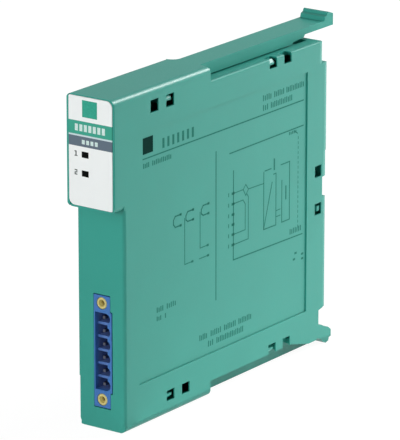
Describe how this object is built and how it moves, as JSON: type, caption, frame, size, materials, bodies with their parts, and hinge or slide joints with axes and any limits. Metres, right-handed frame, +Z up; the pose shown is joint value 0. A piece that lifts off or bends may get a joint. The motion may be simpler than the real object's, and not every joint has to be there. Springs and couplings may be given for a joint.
{
  "type": "temperature signal converter",
  "caption": "Slim upright plastic module that converts temperature sensor signals, with a front label plate, a plug-in terminal header, a latch arm and a rear hook.",
  "frame": {"origin": "middle of the bounding box at the level of the bottom face it stands on", "axes": "+Z up, +Y from the labelled front to the rear that meets the backplane, +X to the right of someone who faces the label"},
  "size_m": [0.016, 0.109, 0.097],
  "materials": {
    "housing_plastic": "satin",
    "cover_plastic": "satin",
    "label_plastic": "satin",
    "tinted_pipe": "gloss",
    "led_resin": "gloss",
    "header_plastic": "satin",
    "tinned_contact": "satin",
    "insert_brass": "satin",
    "socket_plastic": "satin",
    "gilt_contact": "satin",
    "board_laminate": "satin",
    "ferrite": "matte",
    "former_plastic": "satin",
    "enamelled_copper": "gloss",
    "can_aluminium": "satin",
    "chip_epoxy": "matte",
    "coupler_epoxy": "satin",
    "crystal_can": "satin",
    "resistor_lacquer": "gloss",
    "fuse_ceramic": "satin"
  },
  "bodies": {
    "root": {"housing": "housing_plastic", "side_cover": "cover_plastic", "label_plate": "label_plastic", "upper_light_pipe": "tinted_pipe", "lower_light_pipe": "tinted_pipe", "upper_led": "led_resin", "lower_led": "led_resin", "header_body": "header_plastic", "header_contacts": "tinned_contact", "upper_flange_insert": "insert_brass", "lower_flange_insert": "insert_brass", "bus_connector": "socket_plastic", "bus_contacts": "gilt_contact", "circuit_board": "board_laminate", "transformer_core": "ferrite", "transformer_bobbin": "former_plastic", "transformer_winding": "enamelled_copper", "buffer_capacitors": "can_aluminium", "processor": "chip_epoxy", "converter_chip": "chip_epoxy", "signal_isolator": "chip_epoxy", "optocouplers": "coupler_epoxy", "quartz_crystal": "crystal_can", "power_inductor": "ferrite", "input_resistors": "resistor_lacquer", "surge_suppressors": "chip_epoxy", "rectifier_diodes": "chip_epoxy", "board_fuse": "fuse_ceramic", "junction_sensor": "chip_epoxy"}
  },
  "joints": []
}
